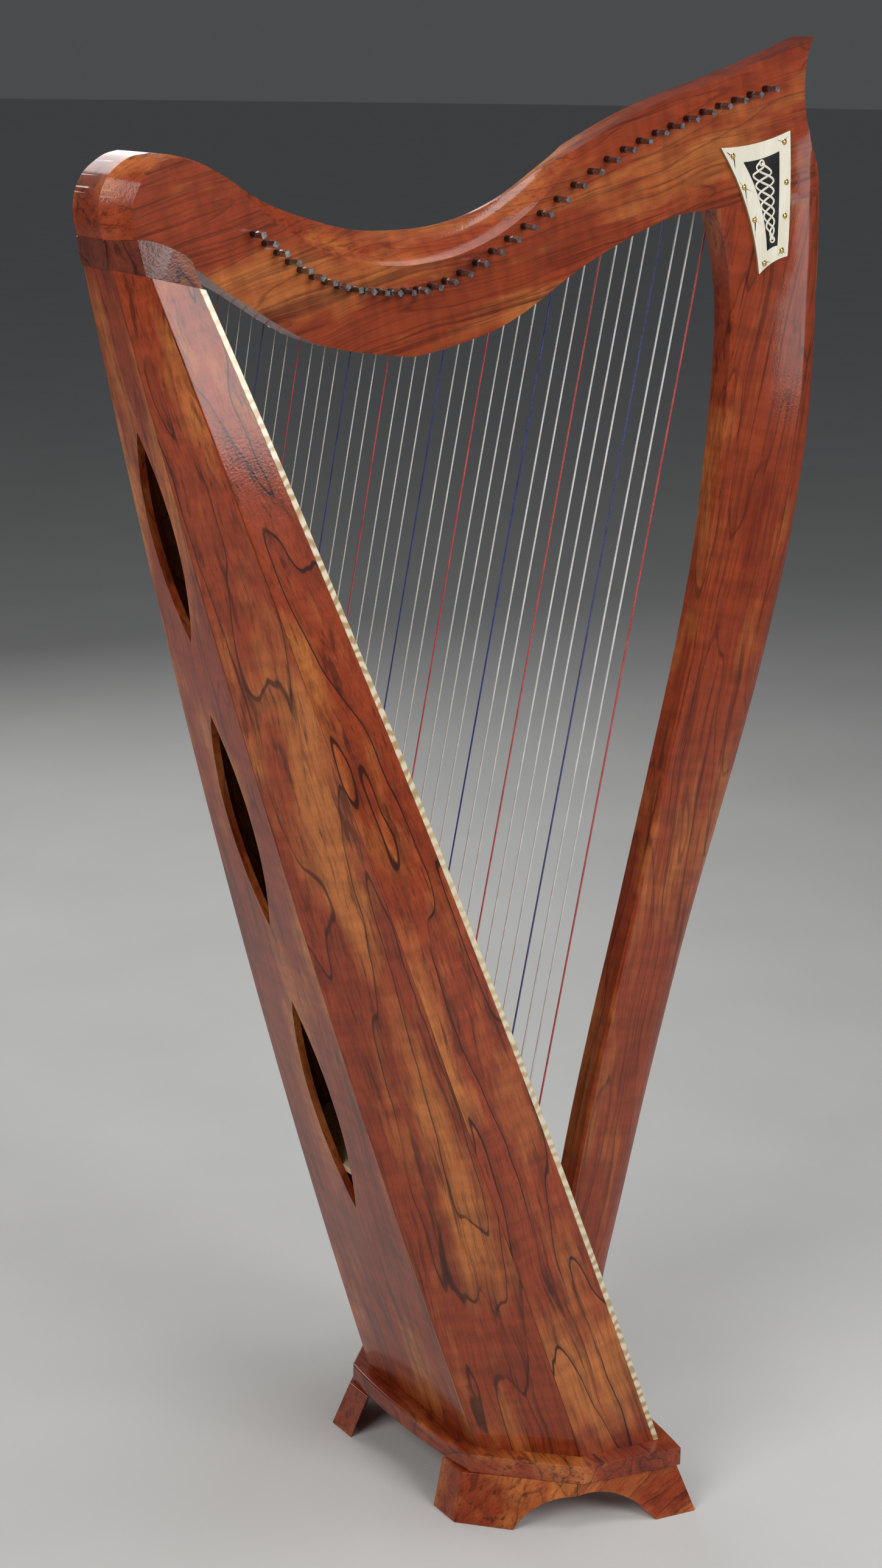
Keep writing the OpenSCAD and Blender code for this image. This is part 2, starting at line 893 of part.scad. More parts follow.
module lever(i) {
    y = axis_height(i);
    color("lightgray")
        on_deck()
            at_lever(i) {
                axle(y, 0, hub_left, hub_right, hub_r);
                axle(y, 0, hub_left, ear_right, stud_r);
                axle(y - cam_offset * cos(lever_throw), cam_offset * sin(lever_throw), hub_left, hub_right,
                    cam_r);
                translate([(hub_left + hub_right) / 2, y, 0])
                    rotate([handle_angle, 0, 0])
                        difference() {
                            union() {
                                translate([-handle_width / 2, -handle_thickness / 2, -handle_length])
                                    cube([handle_width, handle_thickness, handle_length - hub_r / 2]);
                                translate([0, handle_thickness / 2, -handle_length])
                                    rotate([90, 0, 0])
                                        cylinder(h = handle_thickness, r = ring_r);
                            }
                            translate([0, handle_thickness, -handle_length])
                                rotate([90, 0, 0])
                                    cylinder(h = 2 * handle_thickness, r = ring_hole_r);
                        }
            }
}

module lever_bases() {
    color(steel)
        on_deck()
            for (i = [1 : string_count])
                at_lever(i)
                    difference() {
                        union() {
                            translate([hub_left, far_face, -base_low])
                                cube([ear_right - hub_left, base_thickness, base_low + base_high]);
                            translate([ear_left, far_face, -hub_r])
                                cube([ear_right - ear_left, axis_height(i) - far_face, 2 * hub_r]);
                            axle(axis_height(i), 0, ear_left, ear_right, hub_r);
                        }
                        axle(axis_height(i), 0, ear_left - lead, ear_right + lead,
                            stud_r + running_fit);
                    }
}

// ---------- base plate and legs ----------

plate_rear_r = 816;
plate_front_r = 1045;
plate_rear = -52;
plate_front = 173;
plate_outline = [[-60, -98], [38, -196], [150, -218], [185, -225], [185, 225], [150, 218], [38, 196],
    [-60, 98]];

module base_plate() {
    color(wood)
        at_level(leg_height)
            intersection() {
                linear_extrude(plate_thickness)
                    polygon(plate_outline);
                translate([plate_rear + plate_rear_r, 0, 0])
                    cylinder(h = plate_thickness, r = plate_rear_r, $fn = 2 * smooth);
                translate([plate_front - plate_front_r, 0, 0])
                    cylinder(h = plate_thickness, r = plate_front_r, $fn = 2 * smooth);
            }
}

// Outside of a leg frame from its rear end round the mitre to its front end, at the floor and at the top
foot_line = [[-66, 121], [22, 213], [159, 234]];
top_line = [[-50, 111], [36, 194], [147, 214.5]];
arch_middle = 45;
arch_r = (pow(arch_length / 2, 2) + pow(arch_height, 2)) / (2 * arch_height);

function across(p, q) = [q.y - p.y, p.x - q.x] / norm(q - p);

// Inside corners of a leg frame: a rear end square to the harp, the mitre, and a square front end
function leg_inner(line) =
    let (rear_dir = line[1] - line[0])
    [
        line[0] - [0, leg_board * norm(rear_dir) / rear_dir.x],
        inner_corner(line[0], line[1], line[2], -leg_board),
        line[2] + leg_board * across(line[1], line[2])
    ];

// One board of a leg frame, whose mitre stops a hair short for glue
module leg_board_solid(k) {
    low = leg_inner(foot_line);
    high = leg_inner(top_line);
    run = foot_line[1] - foot_line[2 * k];
    back = glue_gap / 2 * run / norm(run);
    function ends(line) = k == 0 ? [line[0], line[1] - back] : [line[1] - back, line[2]];
    difference() {
        loft([
            let (in = ends(low), out = ends(foot_line))
                at_height([in[0], in[1], out[1], out[0]], 0),
            let (in = ends(high), out = ends(top_line))
                at_height([in[0], in[1], out[1], out[0]], leg_height)
        ]);
        translate([arch_middle, 0, arch_height - arch_r])
            rotate([90, 0, 0])
                cylinder(h = clear_length, r = arch_r, center = true, $fn = smooth);
    }
}

module leg_frame() {
    at_level(0)
        for (k = [0, 1])
            leg_board_solid(k);
}

module leg_frame_left() {
    color(wood)
        leg_frame();
}

module leg_frame_right() {
    color(wood)
        other_side()
            leg_frame();
}

neck();
shoulder_block();
pillar();
top_block();
back_panel();
bevel_panel_right();
bevel_panel_left();
side_panel_right();
side_panel_left();
soundboard();
string_strip();
inner_frame();
edge_bindings();
base_plate();
leg_frame_right();
leg_frame_left();
joint_plate();
plate_inlay();
plate_screws();
tuning_pins();
bridge_pins();
lever_bases();
strings();
string_grommets();
for (i = [1 : string_count])
    lever(i);
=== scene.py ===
import json
import math
import random

import bmesh
import bpy
import numpy as np
from mathutils import Matrix, Vector


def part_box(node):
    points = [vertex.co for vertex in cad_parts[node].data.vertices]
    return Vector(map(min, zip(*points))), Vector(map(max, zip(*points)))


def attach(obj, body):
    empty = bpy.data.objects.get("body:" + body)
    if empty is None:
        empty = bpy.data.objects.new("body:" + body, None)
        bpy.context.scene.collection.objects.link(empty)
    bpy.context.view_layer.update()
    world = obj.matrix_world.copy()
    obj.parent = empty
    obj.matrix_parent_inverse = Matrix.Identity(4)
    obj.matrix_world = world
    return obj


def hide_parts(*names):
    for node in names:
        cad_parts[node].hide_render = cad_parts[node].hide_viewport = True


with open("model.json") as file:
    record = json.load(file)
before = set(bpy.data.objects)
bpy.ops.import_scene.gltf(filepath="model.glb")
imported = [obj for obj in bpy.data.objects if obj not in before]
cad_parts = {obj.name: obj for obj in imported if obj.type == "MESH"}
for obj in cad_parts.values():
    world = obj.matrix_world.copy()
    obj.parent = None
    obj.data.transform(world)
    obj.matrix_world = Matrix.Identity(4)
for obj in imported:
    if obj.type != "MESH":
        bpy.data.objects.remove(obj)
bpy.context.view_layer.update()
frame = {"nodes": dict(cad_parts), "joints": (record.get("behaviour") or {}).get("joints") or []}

MM = 0.001
SEED = 36

# ---------- camera, lights and floor ----------

CAMERA_PLACE = Vector((-1.4398, -2.145, 1.466))
CAMERA_AZIMUTH = -33.38
CAMERA_DOWN = 15.6
CAMERA_ROLL = 0.72
CAMERA_LENS = 61.5
SENSOR_HEIGHT = 36


def add_camera():
    data = bpy.data.cameras.new("camera")
    data.sensor_fit = "VERTICAL"
    data.sensor_height = SENSOR_HEIGHT
    data.lens = CAMERA_LENS
    camera = bpy.data.objects.new("camera", data)
    bpy.context.scene.collection.objects.link(camera)
    turn = (
        Matrix.Rotation(math.radians(CAMERA_AZIMUTH), 4, "Z")
        @ Matrix.Rotation(math.radians(90 - CAMERA_DOWN), 4, "X")
        @ Matrix.Rotation(math.radians(CAMERA_ROLL), 4, "Z")
    )
    camera.matrix_world = Matrix.Translation(CAMERA_PLACE) @ turn
    bpy.context.scene.camera = camera


def add_softbox(name, place, target, width, height, power, colour=(1, 1, 1)):
    """Rectangular lamp aimed at a point; sizes in metres, power in watts."""
    data = bpy.data.lights.new(name, "AREA")
    data.shape = "RECTANGLE"
    data.size = width
    data.size_y = height
    data.energy = power
    data.color = colour
    light = bpy.data.objects.new(name, data)
    bpy.context.scene.collection.objects.link(light)
    light.location = place
    direction = Vector(target) - Vector(place)
    light.rotation_euler = direction.to_track_quat("-Z", "Y").to_euler()


HARP_MIDDLE = (0, 0, 0.8)
HARP_UPPER = (0, 0, 0.95)
WORLD_COLOUR = (0.92, 0.95, 1, 1)
WORLD_STRENGTH = 0.075
FLOOR_RADIUS = 60


def add_lights():
    add_softbox("key", (-2.9, -1.0, 2.5), HARP_MIDDLE, 1.9, 1.9, 66, (1, 0.98, 0.95))
    add_softbox("side", (0.5, -3.0, 2.1), HARP_UPPER, 1.5, 1.5, 54)
    add_softbox("front", (2.7, -1.6, 1.5), HARP_MIDDLE, 0.9, 1.6, 12)
    add_softbox("top", (0.3, -0.3, 3.3), HARP_MIDDLE, 1.8, 1.4, 26)
    add_softbox("back", (0.3, 3.0, 2.1), HARP_MIDDLE, 2.0, 1.6, 30)
    world = bpy.data.worlds.new("studio")
    world.use_nodes = True
    background = world.node_tree.nodes["Background"]
    background.inputs["Color"].default_value = WORLD_COLOUR
    background.inputs["Strength"].default_value = WORLD_STRENGTH
    bpy.context.scene.world = world


def add_floor():
    mesh = bpy.data.meshes.new("studio_floor")
    bm = bmesh.new()
    bmesh.ops.create_circle(bm, cap_ends=True, segments=96, radius=FLOOR_RADIUS)
    bm.to_mesh(mesh)
    bm.free()
    floor = bpy.data.objects.new("studio_floor", mesh)
    bpy.context.scene.collection.objects.link(floor)
    g = Graph("floor_paper")
    tone = g.noise(g.scaled(g.place, (3, 3, 3)), detail=4)
    colour = g.ramp(tone, [(0.3, (0.60, 0.60, 0.59)), (0.7, (0.64, 0.64, 0.63))])
    g.finish(colour, roughness=0.75, bump=g.noise(g.scaled(g.place, (400, 400, 400))), depth=0.2)
    mesh.materials.append(g.material)


# ---------- node graphs ----------


class Graph:
    """A material's node graph. Every texture reads the object's own coordinates, in metres."""

    def __init__(self, name):
        self.material = bpy.data.materials.new(name)
        self.material.use_nodes = True
        self.tree = self.material.node_tree
        self.shader = self.tree.nodes["Principled BSDF"]
        self.place = self.add("ShaderNodeTexCoord").outputs["Object"]

    def add(self, kind, **settings):
        node = self.tree.nodes.new(kind)
        for key, value in settings.items():
            setattr(node, key, value)
        return node

    def put(self, socket, value):
        """Links a socket, or sets it where the value is a plain number or colour."""
        if isinstance(value, bpy.types.NodeSocket):
            self.tree.links.new(value, socket)
        else:
            socket.default_value = value

    def math(self, operation, a, b=0.0, clamp=False):
        node = self.add("ShaderNodeMath", operation=operation, use_clamp=clamp)
        self.put(node.inputs[0], a)
        self.put(node.inputs[1], b)
        return node.outputs[0]

    def dot(self, vector, direction):
        node = self.add("ShaderNodeVectorMath", operation="DOT_PRODUCT")
        self.put(node.inputs[0], vector)
        node.inputs[1].default_value = direction
        return node.outputs["Value"]

    def joined(self, x, y, z):
        node = self.add("ShaderNodeCombineXYZ")
        for socket, value in zip(node.inputs, (x, y, z)):
            self.put(socket, value)
        return node.outputs[0]

    def scaled(self, vector, scale):
        """A vector multiplied along each axis, which sets how often a noise repeats per metre."""
        node = self.add("ShaderNodeMapping")
        self.put(node.inputs["Vector"], vector)
        node.inputs["Scale"].default_value = scale
        return node.outputs[0]

    def noise(self, vector, detail=3.0, roughness=0.5):
        node = self.add("ShaderNodeTexNoise")
        self.put(node.inputs["Vector"], vector)
        node.inputs["Scale"].default_value = 1
        node.inputs["Detail"].default_value = detail
        node.inputs["Roughness"].default_value = roughness
        return node.outputs[0]

    def step(self, value, low, high, to_low=0.0, to_high=1.0):
        """Smooth step from to_low at low to to_high at high; low may be above high."""
        node = self.add("ShaderNodeMapRange", interpolation_type="SMOOTHSTEP")
        self.put(node.inputs["Value"], value)
        node.inputs["From Min"].default_value = low
        node.inputs["From Max"].default_value = high
        node.inputs["To Min"].default_value = to_low
        node.inputs["To Max"].default_value = to_high
        return node.outputs["Result"]

    def ramp(self, value, stops):
        node = self.add("ShaderNodeValToRGB")
        self.put(node.inputs[0], value)
        elements = node.color_ramp.elements
        while len(elements) < len(stops):
            elements.new(0.5)
        for element, (position, colour) in zip(elements, stops):
            element.position = position
            element.color = (*colour, 1)
        return node.outputs["Color"]

    def mix(self, factor, a, b, blend="MIX"):
        node = self.add("ShaderNodeMix", data_type="RGBA", blend_type=blend)
        self.put(node.inputs["Factor"], factor)
        ends = [n for n in node.inputs if n.type == "RGBA"]
        for socket, value in zip(ends, (a, b)):
            self.put(socket, (*value, 1) if isinstance(value, tuple) else value)
        return next(n for n in node.outputs if n.type == "RGBA")

    def finish(self, colour, roughness=0.5, metallic=0.0, bump=None, depth=0.5, coat=0.0,
               coat_roughness=0.05, coat_bump=None, coat_depth=0.1, distance=0.001):
        self.put(self.shader.inputs["Base Color"], colour)
        self.put(self.shader.inputs["Roughness"], roughness)
        self.shader.inputs["Metallic"].default_value = metallic
        self.shader.inputs["Coat Weight"].default_value = coat
        self.shader.inputs["Coat Roughness"].default_value = coat_roughness
        for height, strength, socket in ((bump, depth, "Normal"), (coat_bump, coat_depth, "Coat Normal")):
            if height is not None:
                node = self.add("ShaderNodeBump")
                node.inputs["Strength"].default_value = strength
                node.inputs["Distance"].default_value = distance
                self.put(node.inputs["Height"], height)
                self.put(self.shader.inputs[socket], node.outputs[0])
        return self.material


# ---------- woods ----------

BUBINGA = {
    "deep": (0.145, 0.015, 0.005),
    "middle": (0.27, 0.042, 0.012),
    "gold": (0.47, 0.145, 0.036),
    "vein": (0.030, 0.005, 0.003),
}
BUBINGA_DARK = {
    "deep": (0.070, 0.012, 0.008),
    "middle": (0.145, 0.030, 0.016),
    "gold": (0.24, 0.075, 0.036),
    "vein": (0.018, 0.005, 0.004),
}
VEIN_STRETCH = (11, 1.3, 11)
VEIN_CONTOURS = 13.0
VEIN_LEAST_SLOPE = 0.05
RING_STRETCH = (420, 1.4, 30)
CURLS_PER_METRE = 520 / (2 * math.pi)


def grain_frame(g, along, facing, seed):
    """Coordinates across, along and through a board, in metres, moved by the seed."""
    along = Vector(along).normalized()
    facing = (Vector(facing) - along * along.dot(Vector(facing))).normalized()
    across = facing.cross(along)
    shift = random.Random(SEED + seed)
    u, v, w = (
        g.math("ADD", g.dot(g.place, axis), shift.uniform(1, 3))
        for axis in (across, along, facing)
    )
    return u, v, w


def rosewood(name, along, facing, seed, colours=BUBINGA, veins=0.75, streaks=0.7, waves=0.022,
             gold_at=0.47):
    """Lacquered bubinga: fine straight streaks, wavy dark veins, golden patches and open pores.

    veins and streaks are the strength of each, waves how far the grain sways in metres, and gold_at
    the level of the patches above which they turn golden.
    """
    g = Graph(name)
    u, v, w = grain_frame(g, along, facing, seed)
    sway = g.math("SUBTRACT", g.noise(g.scaled(g.joined(u, v, w), (4, 2.4, 4)), detail=3), 0.5)
    wander = g.math("SUBTRACT", g.noise(g.scaled(g.joined(u, v, w), (20, 11, 20)), detail=2), 0.5)
    flow = g.math("ADD", u, g.math("MULTIPLY", sway, waves * 2))
    flow = g.math("ADD", flow, g.math("MULTIPLY", wander, waves * 0.32))
    board = g.joined(flow, v, w)

    patch = g.noise(g.scaled(board, (15, 3.6, 15)), detail=4, roughness=0.6)
    colour = g.ramp(patch, [
        (0.27, colours["deep"]),
        (0.42, colours["middle"]),
        (gold_at + 0.03, colours["middle"]),
        (gold_at + 0.17, colours["gold"]),
    ])
    fine = g.noise(g.scaled(board, (420, 7, 420)), detail=4, roughness=0.62)
    line = g.noise(g.scaled(board, (130, 2.6, 130)), detail=4, roughness=0.65)
    streak = g.math("MULTIPLY", g.step(fine, 0.54, 0.34), 0.5)
    streak = g.math("ADD", streak, g.math("MULTIPLY", g.step(line, 0.47, 0.34), 0.8), clamp=True)
    colour = g.mix(g.math("MULTIPLY", streak, streaks), colour, colours["vein"])

    # Veins are contour lines of a smooth noise. Its slope per millimetre keeps their width even.
    beside = g.joined(g.math("ADD", flow, 1 * MM), v, w)
    rings, rings_beside = (
        g.noise(g.scaled(place, VEIN_STRETCH), detail=2.6, roughness=0.45)
        for place in (board, beside)
    )
    change = g.math("ABSOLUTE", g.math("SUBTRACT", rings_beside, rings))
    slope = g.math("MULTIPLY", change, VEIN_CONTOURS)
    level = g.math("FRACT", g.math("MULTIPLY", rings, VEIN_CONTOURS))
    edge = g.math("ABSOLUTE", g.math("SUBTRACT", level, 0.5))
    where = g.step(g.noise(g.scaled(board, (30, 4.0, 30)), detail=2), 0.26, 0.46)
    halo = g.step(level, 0.05, 0.5)
    halo = g.math("MULTIPLY", halo, g.step(level, 0.56, 0.5))
    millimetres = g.math("DIVIDE", edge, g.math("MAXIMUM", slope, VEIN_LEAST_SLOPE))
    vein = g.math("MULTIPLY", g.step(millimetres, 0.85, 0.3), where)
    colour = g.mix(g.math("MULTIPLY", halo, 0.30 * veins), colour, colours["vein"])
    colour = g.mix(g.math("MULTIPLY", vein, 0.92 * veins), colour, colours["vein"])

    # Painted sheen: cross-grain ripple bands make the colour lighter and darker, standing in for the ripple
    # figure's shimmer in light.
    ripple = g.noise(g.scaled(board, (24, 75, 24)), detail=2.5)
    painted_sheen_bands = g.ramp(ripple, [(0.3, (0.80, 0.78, 0.76)), (0.7, (1.20, 1.19, 1.16))])
    colour = g.mix(0.8, colour, painted_sheen_bands, "MULTIPLY")
    pores = g.noise(g.scaled(board, (1500, 90, 1500)), detail=2, roughness=0.7)
    pore = g.step(pores, 0.40, 0.30)
    colour = g.mix(g.math("MULTIPLY", pore, 0.45), colour, colours["vein"])

    worn = g.noise(g.scaled(g.place, (9, 9, 9)), detail=5, roughness=0.65)
    rough = g.step(worn, 0.3, 0.75, 0.36, 0.48)
    peel = g.noise(g.scaled(g.place, (420, 420, 420)), detail=2, roughness=0.5)
    relief = g.math("ADD", g.math("MULTIPLY", pore, -0.7), g.math("MULTIPLY", fine, 0.5))
    g.shader.inputs["Specular IOR Level"].default_value = 0.12
    return g.finish(colour, roughness=rough, bump=relief, depth=0.22, coat=0.6, coat_roughness=0.10,
                    coat_bump=peel, coat_depth=0.10, distance=0.0006)


def straight_wood(name, along, facing, seed, dark, light, coat=0.0):
    """Plain pale timber with narrow growth rings, such as spruce or maple."""
    g = Graph(name)
    u, v, w = grain_frame(g, along, facing, seed)
    sway = g.math("MULTIPLY", g.noise(g.scaled(g.joined(u, v, w), (3, 0.8, 3)), detail=2), 0.03)
    board = g.joined(g.math("ADD", u, sway), v, w)
    ring = g.noise(g.scaled(board, RING_STRETCH), detail=2, roughness=0.6)
    tone = g.noise(g.scaled(board, (20, 4, 20)), detail=4)
    colour = g.ramp(ring, [(0.32, dark), (0.55, light), (0.8, light)])
    shade = g.ramp(tone, [(0.3, (0.80, 0.78, 0.74)), (0.7, (1.05, 1.04, 1.02))])
    colour = g.mix(0.5, colour, shade, "MULTIPLY")
    silk = g.noise(g.scaled(board, (60, 220, 60)), detail=2)
    colour = g.mix(g.step(silk, 0.60, 0.72, 0, 0.25), colour, light)
    return g.finish(colour, roughness=g.step(tone, 0.3, 0.8, 0.44, 0.58), bump=ring, depth=0.18, coat=coat,
                    coat_roughness=0.12, distance=0.0004)


def curly_maple(name, along):
    """Cream maple whose grain curls, so that bands cross the strip."""
    g = Graph(name)
    v = g.dot(g.place, Vector(along).normalized())
    sway = g.noise(g.scaled(g.place, (60, 60, 24)), detail=2)
    phase = g.math("ADD", g.math("MULTIPLY", v, 2 * math.pi * CURLS_PER_METRE), g.math("MULTIPLY", sway, 16))
    wave = g.math("SINE", phase)
    drift = g.noise(g.scaled(g.place, (5, 5, 4)), detail=3)
    band = g.math("MULTIPLY", g.step(wave, -0.7, 0.9), g.step(drift, 0.35, 0.6, 0.25, 1))
    colour = g.ramp(band, [(0.0, (0.74, 0.66, 0.48)), (0.5, (0.60, 0.47, 0.28)), (1.0, (0.42, 0.28, 0.13))])
    fibre = g.noise(g.scaled(g.place, (900, 900, 60)), detail=3)
    shade = g.ramp(fibre, [(0.3, (0.78, 0.74, 0.68)), (0.7, (1.06, 1.05, 1.0))])
    colour = g.mix(0.35, colour, shade, "MULTIPLY")
    return g.finish(colour, roughness=g.step(fibre, 0.3, 0.8, 0.3, 0.42), bump=fibre, depth=0.12, coat=0.7,
                    coat_roughness=0.07, distance=0.0004)


# ---------- metals, plastics and strings ----------


def metal(name, light, dark, roughness, scale=260):
    """Handled metal: cloudy in colour and gloss, with fine rubbed marks."""
    g = Graph(name)
    cloud = g.noise(g.scaled(g.place, (scale, scale, scale)), detail=4, roughness=0.6)
    rub = g.noise(g.scaled(g.place, (scale * 12, scale * 1.5, scale * 12)), detail=3, roughness=0.65)
    colour = g.ramp(cloud, [(0.30, dark), (0.68, light)])
    rough = g.math("ADD", g.step(cloud, 0.3, 0.75, roughness - 0.05, roughness + 0.09),
                   g.math("MULTIPLY", g.step(rub, 0.55, 0.75), 0.10))
    return g.finish(colour, roughness=rough, metallic=1.0, bump=rub, depth=0.10, distance=0.0002)


def polished(name, light, dark, edge_colour=None):
    """Hard smooth plastic. Where an edge colour is given, faces turned away from Y, such as a plate's edges,
    have that colour.
    """
    g = Graph(name)
    cloud = g.noise(g.scaled(g.place, (70, 70, 21)), detail=5, roughness=0.6)
    speck = g.noise(g.scaled(g.place, (1800, 1800, 700)), detail=2, roughness=0.6)
    colour = g.ramp(cloud, [(0.30, dark), (0.7, light)])
    if edge_colour is not None:
        normal = g.add("ShaderNodeTexCoord").outputs["Normal"]
        flat = g.math("ABSOLUTE", g.dot(normal, (0, 1, 0)))
        colour = g.mix(g.step(flat, 0.55, 0.9), edge_colour, colour)
    return g.finish(colour, roughness=g.step(cloud, 0.3, 0.8, 0.22, 0.32), bump=speck, depth=0.06, coat=0.5,
                    coat_roughness=0.05, distance=0.0003)


WRAP_PITCH = 0.55 * MM
STRING_UP = (0.2, 0, 0.98)


def string_material(name, light, dark, wound, clear=0.0):
    """Nylon or gut: slightly cloudy along its length; wound strings show their wrap as fine ridges, with
    painted shade darkening the grooves between them.
    """
    g = Graph(name)
    cloud = g.noise(g.scaled(g.place, (160, 160, 34)), detail=4, roughness=0.6)
    colour = g.ramp(cloud, [(0.32, dark), (0.66, light)])
    ridge = g.noise(g.scaled(g.place, (700, 700, 700)), detail=2)
    if wound:
        up = g.dot(g.place, STRING_UP)
        ridge = g.math("SINE", g.math("MULTIPLY", up, 2 * math.pi / WRAP_PITCH))
        # Painted shade: the grooves between the wraps are darkened towards the dark colour.
        colour = g.mix(g.step(ridge, 0.0, -0.9, 0, 0.45), colour, dark)
    g.shader.inputs["Transmission Weight"].default_value = clear
    g.shader.inputs["IOR"].default_value = 1.53
    return g.finish(colour, roughness=g.step(cloud, 0.3, 0.8, 0.22, 0.34), bump=ridge,
                    depth=0.35 if wound else 0.08, coat=0.3, coat_roughness=0.1, distance=0.0002)


# ---------- meshes ----------

CREASE_ANGLE = 28
BEVEL_SEGMENTS = 3
LONG_EDGE = 30 * MM
WELD_DISTANCE = 0.01 * MM
CELLS_PER_METRE = 2e5


def new_object(name, bm, materials, sharp=None):
    """Smooth object from a bmesh; edges steeper than sharp degrees stay crisp."""
    mesh = bpy.data.meshes.new(name)
    bmesh.ops.recalc_face_normals(bm, faces=bm.faces)
    bm.to_mesh(mesh)
    bm.free()
    for material in materials:
        mesh.materials.append(material)
    for polygon in mesh.polygons:
        polygon.use_smooth = True
    if sharp is not None:
        mesh.set_sharp_from_angle(angle=math.radians(sharp))
    made = bpy.data.objects.new(name, mesh)
    bpy.context.scene.collection.objects.link(made)
    return made


def add_rings(bm, rings, closed=False, material=0):
    """Skin over a list of rings of points, with flat ends unless the last ring meets the first."""
    loops = [[bm.verts.new(p) for p in ring] for ring in rings]
    count = len(loops[0])
    pairs = list(zip(loops, loops[1:]))
    if closed:
        pairs.append((loops[-1], loops[0]))
    for low, high in pairs:
        for j in range(count):
            face = bm.faces.new((low[j], low[(j + 1) % count], high[(j + 1) % count], high[j]))
            face.material_index = material
    if not closed:
        for loop in (loops[0], loops[-1]):
            bm.faces.new(loop).material_index = material


def circle_ring(centre, side, up, radius, count):
    """Points of a circle round a centre, in the plane of side and up."""
    angles = [2 * math.pi * j / count for j in range(count)]
    return [centre + side * (math.cos(a) * radius) + up * (math.sin(a) * radius) for a in angles]


def sweep(bm, path, radius, count, material):
    """Round tube along a path of points."""
    side = None
    rings = []
    for k, point in enumerate(path):
        ahead = path[min(k + 1, len(path) - 1)] - path[max(k - 1, 0)]
        ahead.normalize()
        if side is None:
            side = ahead.orthogonal().normalized()
        side = (side - ahead * side.dot(ahead)).normalized()
        rings.append(circle_ring(point, side, ahead.cross(side), radius, count))
    add_rings(bm, rings, material=material)


def islands(node):
    """Vertices of each separate solid of a CAD node, as arrays, in order of X."""
    bm = bmesh.new()
    bm.from_mesh(frame["nodes"][node].data)
    bmesh.ops.remove_doubles(bm, verts=bm.verts, dist=WELD_DISTANCE)
    seen = set()
    found = []
    for start in bm.verts:
        if start.index in seen:
            continue
        seen.add(start.index)
        stack, group = [start], []
        while stack:
            v = stack.pop()
            group.append(v.co[:])
            for e in v.link_edges:
                w = e.other_vert(v)
                if w.index not in seen:
                    seen.add(w.index)
                    stack.append(w)
        found.append(np.array(group))
    bm.free()
    return sorted(found, key=lambda g: g[:, 0].mean())


def mark_edges(mesh, keep_long):
    """Marks the edges of a CAD mesh that are to be rounded.

    Without keep_long, its long steep edges are marked sharp instead and stay as they are. Faces are
    matched by position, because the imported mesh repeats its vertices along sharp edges.
    """
    count = len(mesh.vertices)
    places = np.empty(count * 3, np.float32)
    mesh.vertices.foreach_get("co", places)
    places = places.reshape(-1, 3)
    keys = {}
    cells = np.round(places * CELLS_PER_METRE).astype(int)
    spot = [keys.setdefault(tuple(cell), len(keys)) for cell in cells]
    normals = {}
    for polygon in mesh.polygons:
        for i, j in polygon.edge_keys:
            normals.setdefault(frozenset((spot[i], spot[j])), []).append(polygon.normal)
    limit = math.cos(math.radians(CREASE_ANGLE))
    weights = np.zeros(len(mesh.edges), np.float32)
    sharp = np.zeros(len(mesh.edges), bool)
    for edge in mesh.edges:
        i, j = edge.vertices
        faces = normals.get(frozenset((spot[i], spot[j])), ())
        if len(faces) < 2 or faces[0].dot(faces[1]) > limit:
            continue
        run = places[j] - places[i]
        length = np.linalg.norm(run)
        lengthwise = length > LONG_EDGE and abs(run[2]) > 0.8 * length
        if keep_long or not lengthwise:
            weights[edge.index] = 1
        else:
            sharp[edge.index] = True
    layers = (("bevel_weight_edge", "FLOAT", weights), ("sharp_edge", "BOOLEAN", sharp))
    for name, kind, values in layers:
        layer = mesh.attributes.get(name) or mesh.attributes.new(name, kind, "EDGE")
        layer.data.foreach_set("value", values)


def soften(node, material, width, keep_long=True):
    """Gives a CAD node its material, smooth curves and small rounded edges, width millimetres wide."""
    part = frame["nodes"][node]
    mesh = part.data
    mesh.materials.clear()
    mesh.materials.append(material)
    if "custom_normal" in mesh.attributes:
        mesh.attributes.remove(mesh.attributes["custom_normal"])
    for polygon in mesh.polygons:
        polygon.use_smooth = True
    mark_edges(mesh, keep_long)
    weld = part.modifiers.new("weld", "WELD")
    weld.merge_threshold = WELD_DISTANCE
    bevel = part.modifiers.new("rounded_edges", "BEVEL")
    bevel.width = width * MM
    bevel.segments = BEVEL_SEGMENTS
    bevel.limit_method = "WEIGHT"
    bevel.harden_normals = True
    bevel.use_clamp_overlap = True
    bevel.miter_outer = "MITER_ARC"


# ---------- the wooden body ----------

BOX_UP = (-0.33, 0, 0.944)
BOARD_OUT = (0.936, 0, 0.351)
NECK_ALONG = (0.972, 0, 0.235)


